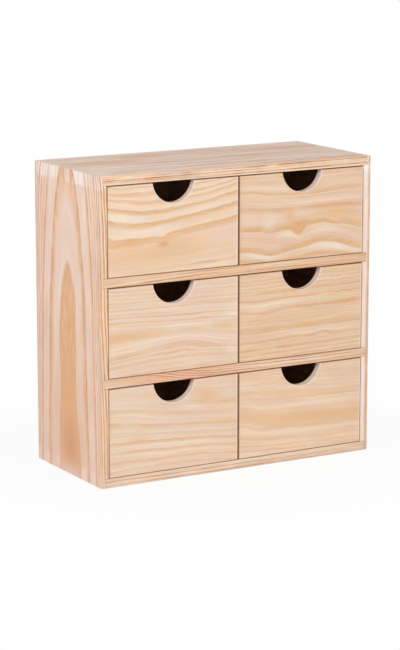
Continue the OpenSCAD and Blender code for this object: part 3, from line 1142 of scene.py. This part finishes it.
@dataclass(frozen=True)
class Pin:
    """One flat-headed pin; its matrix stands it in place, with the top of its head at the origin."""

    matrix: Matrix
    length: float
    shank: float
    head: float
    thickness: float
    sides: int = 20
    dome: float = 0.12 * MM
    tip: float = 1.0 * MM

    @classmethod
    def measure(cls, points: list[Vector]) -> "Pin":
        """Reads a pin's place and size off the corners of its CAD solid.

        Args:
            points: The corners.

        Returns:
            The pin.
        """
        low = Vector([min(values) for values in zip(*points)])
        high = Vector([max(values) for values in zip(*points)])
        size = high - low
        axis = max(range(3), key=lambda index: size[index])
        middle = (low + high) / 2
        others = [index for index in range(3) if index != axis]
        reach = [math.hypot(*((point - middle)[other] for other in others)) for point in points]
        head = max(reach)
        wide = [point[axis] for point, value in zip(points, reach) if value > 0.9 * head]
        narrow = [value for value in reach if 0.2 * head < value < 0.8 * head]
        up = 1 if sum(wide) / len(wide) > middle[axis] else -1
        middle[axis] = high[axis] if up > 0 else low[axis]
        direction = Vector([up if index == axis else 0 for index in range(3)])
        matrix = Matrix.Translation(middle) @ direction.to_track_quat("Z", "Y").to_matrix().to_4x4()
        return cls(matrix, size[axis], sum(narrow) / len(narrow), head, max(wide) - min(wide))

    def turn(self, bm: bmesh.types.BMesh) -> None:
        """Spins the pin from its outline: a domed head with a rolled rim, a shank and a point.

        Args:
            bm: Takes the pin.
        """
        head, thickness = self.head, self.thickness
        outline = [(0.0, 0.0), (head * 0.7, -self.dome * 0.3), (head * 0.96, -self.dome),
                   (head, -thickness * 0.6), (head * 0.92, -thickness), (self.shank, -thickness),
                   (self.shank, self.tip - self.length), (0.0, -self.length)]
        verts = [bm.verts.new((radius, 0.0, height)) for radius, height in outline]
        edges = [bm.edges.new(pair) for pair in zip(verts, verts[1:])]
        bmesh.ops.spin(bm, geom=verts + edges, cent=(0, 0, 0), axis=(0, 0, 1), angle=math.tau,
                       steps=self.sides, use_merge=True)
        verts = joined(verts[0])
        bmesh.ops.remove_doubles(bm, verts=verts, dist=WELD)
        verts = joined(next(vert for vert in verts if vert.is_valid))
        bmesh.ops.recalc_face_normals(bm, faces=list({face for vert in verts for face in vert.link_faces}))
        bmesh.ops.transform(bm, matrix=self.matrix, verts=verts)


@dataclass
class Pins:
    """A set of pins, each turned afresh where its CAD solid lies."""

    node: str
    body: str

    def build(self) -> bpy.types.Object:
        """Turns every pin of the set.

        Returns:
            The new piece.
        """
        bm = bmesh.new()
        for pin in self._pins():
            pin.turn(bm)
        return PinFinish().make(f"{self.node}_turned", bm, self.body, self.node)

    def _pins(self) -> Iterable[Pin]:
        """Finds the pins, one for each group of joined corners in the CAD solid.

        Yields:
            Each pin.
        """
        bm = copy_solid(self.node)
        seen = set()
        for start in bm.verts:
            if start not in seen:
                group = joined(start)
                seen.update(group)
                yield Pin.measure([vert.co.copy() for vert in group])
        bm.free()


# --- Sub-assemblies ---

PLY_EASE = 0.15 * MM
CASE_BOARDS: dict[str, PineFinish] = {
    "left_side": PineFinish(LEFT_SIDE, CASE_TONE, Lie.UPRIGHT),
    "right_side": PineFinish(RIGHT_SIDE, RIGHT_TONE, Lie.UPRIGHT),
    "top_panel": PineFinish(TOP_PANEL, LIGHTENED_TOP_TONE, Lie.LEVEL),
    "upper_shelf": PineFinish(UPPER_SHELF, SHELF_TONE, Lie.FRONT),
    "lower_shelf": PineFinish(LOWER_SHELF, LOWER_TONE, Lie.FRONT),
    "bottom_panel": PineFinish(BOTTOM_PANEL, BOTTOM_TONE, Lie.FRONT),
}


@dataclass
class Case:
    """The fixed case: six pine boards, three plywood dividers, and a plywood back with its pins."""

    body: str = "case"

    def build(self) -> list[bpy.types.Object]:
        """Builds every piece of the case.

        Returns:
            The pieces.
        """
        pieces = [Board(node, self.body, finish).build() for node, finish in CASE_BOARDS.items()]
        panels = [(f"{tier.value}_divider", Lie.RUNNING, 3.0 + number) for number, tier in enumerate(Tier)]
        for node, lie, seed in (*panels, ("back_panel", Lie.FRONT, 11.0)):
            pieces.append(Board(node, self.body, PlywoodFinish(lie, seed), PLY_EASE).build())
        pieces.append(Pins("back_pins", self.body).build())
        return pieces


@dataclass
class Drawer:
    """One loose drawer: a thick front, two sides, a back, a plywood bottom and its pins."""

    tier: Tier
    column: Column
    front_ease: float = 0.45 * MM

    @property
    def body(self) -> str:
        """Names the drawer's body."""
        return f"{self.tier.value}_{self.column.value}_drawer"

    @property
    def seed(self) -> float:
        """Gives the drawer a random seed of its own."""
        return 30.0 + 10 * list(Tier).index(self.tier) + 5 * list(Column).index(self.column)

    def inner_figure(self, number: int) -> Figure:
        """Cuts each inner board from another place in the log."""
        return Figure(pith_across=-30.0 + 25 * number, pith_deep=40.0 + 9 * number, spacing=4.5,
                      slope=0.02 * number, wave=0.8, seed=self.seed + number)

    def build(self) -> list[bpy.types.Object]:
        """Builds every piece of the drawer.

        Returns:
            The pieces.
        """
        place = (self.tier, self.column)
        front = PineFinish(FRONT_FIGURES[place], FRONT_TONES[place], Lie.FRONT, Slot.FRONT_PINE)
        pieces = [Board(f"{self.body}_front", self.body, front, self.front_ease).build()]
        inner = {"left_side": Lie.RUNNING, "right_side": Lie.RUNNING, "back": Lie.FRONT}
        for number, (part, lie) in enumerate(inner.items()):
            finish = PineFinish(self.inner_figure(number), SHADED_INNER_TONE, lie)
            pieces.append(Board(f"{self.body}_{part}", self.body, finish).build())
        bottom = PlywoodFinish(Lie.LEVEL, self.seed + 3)
        pieces.append(Board(f"{self.body}_bottom", self.body, bottom, PLY_EASE).build())
        pieces.append(Pins(f"{self.body}_pins", self.body).build())
        return pieces


# --- Studio ---


@dataclass(frozen=True)
class Lamp:
    """A soft box that hangs in the studio."""

    name: str
    place: Place
    size: float
    power: float

    def hang(self, target: Vector) -> None:
        """Hangs the lamp and points it at the target.

        Args:
            target: The point.
        """
        light = bpy.data.lights.new(self.name, "AREA")
        light.shape = "SQUARE"
        light.size = self.size
        light.energy = self.power
        lamp = bpy.data.objects.new(self.name, light)
        lamp.location = self.place
        lamp.rotation_euler = (target - Vector(self.place)).to_track_quat("-Z", "Y").to_euler()
        bpy.context.scene.collection.objects.link(lamp)


@dataclass
class Studio:
    """A pale floor, a white surround, soft boxes and the camera.

    The floor fades from veil, its share of plain white beside the chest, to white between white_from
    and white_at millimetres from the middle.
    """

    floor_size: float = 12.0
    floor_colour: Colour = srgb(246, 246, 246)
    grain: Place = (3.0, 3.0, 3.0)
    tooth: float = 0.01
    roughness: float = 0.9
    shine: float = 0.1
    veil: float = 0.91
    white_from: float = 150.0
    white_at: float = 420.0
    white: tuple[float, ...] = (1, 1, 1, 1)
    sky: float = 0.40
    lamps: tuple[Lamp, ...] = (
        Lamp("key_box", (-1.9, -1.35, 1.55), 1.3, 38.0),
        Lamp("fill_box", (1.3, -2.4, 0.95), 1.6, 18.5),
    )
    camera_place: Place = (-1.2578, -2.1667, 0.6563)
    camera_yaw: float = 30.04
    camera_pitch: float = 11.562
    camera_lens: float = 130.7
    sensor: float = 36.0

    def build(self) -> None:
        """Sets up the whole studio."""
        self._floor()
        self._surround()
        low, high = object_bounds()
        for lamp in self.lamps:
            lamp.hang((low + high) / 2)
        self._camera()
        bpy.context.scene.view_settings.view_transform = "Standard"

    def _floor(self) -> None:
        """Lays the floor, which fades to plain white for the camera and for mirrors, away from the chest."""
        bm = bmesh.new()
        bmesh.ops.create_grid(bm, x_segments=4, y_segments=4, size=self.floor_size / 2)
        floor = finish_mesh("floor", bm)
        paper = Skin("floor_paper")
        point = paper.place(Vector((0, 0, 0)))
        level = paper.scale(paper.noise(point, self.grain, 1.0, 3.0), self.tooth, 1 - self.tooth / 2)
        paper.coat(paper.shade(self.floor_colour, level), self.roughness, self.shine)
        away = paper.math("SQRT", paper.add(*(paper.times(value, value) for value in point[:2])))
        share = paper.scale(paper.smooth(away, self.white_from, self.white_at), 1.0 - self.veil, self.veil)
        glow = paper.node("Emission", {"Color": self.white})
        mix = {0: paper.times(share, paper.seen()), 1: paper.surface.outputs["BSDF"], 2: glow}
        paper.feed(paper.output, paper.node("MixShader", mix))
        floor.data.materials.append(paper.material)
        floor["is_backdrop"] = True

    def _surround(self) -> None:
        """Makes the surround white to the camera and a soft grey light to the rest."""
        world = bpy.data.worlds.new("surround")
        bpy.context.scene.world = world
        world.use_nodes = True
        graph = Graph(world.node_tree)
        grey, white = (graph.node("Background", {"Color": self.white, "Strength": strength})
                       for strength in (self.sky, 1.0))
        output = graph.tree.nodes.new("ShaderNodeOutputWorld")
        graph.feed(output.inputs["Surface"], graph.node("MixShader", {0: graph.seen(), 1: grey, 2: white}))

    def _camera(self) -> None:
        """Sets the camera."""
        data = bpy.data.cameras.new("camera")
        data.sensor_width = self.sensor
        data.lens = self.camera_lens
        camera = bpy.data.objects.new("camera", data)
        camera.location = self.camera_place
        camera.rotation_euler = (math.radians(90 - self.camera_pitch), 0, math.radians(-self.camera_yaw))
        bpy.context.scene.collection.objects.link(camera)
        bpy.context.scene.camera = camera


def main() -> None:
    """Builds the case, the drawers and the studio, in that order."""
    logging.basicConfig(level=logging.INFO, format="%(name)s: %(message)s")
    for assembly in (Case(), *(Drawer(tier, column) for tier, column in FRONT_FIGURES)):
        for piece in assembly.build():
            LOG.info("%s: %d faces", piece.name, len(piece.data.polygons))
    Studio().build()


if __name__ == "__main__":
    main()
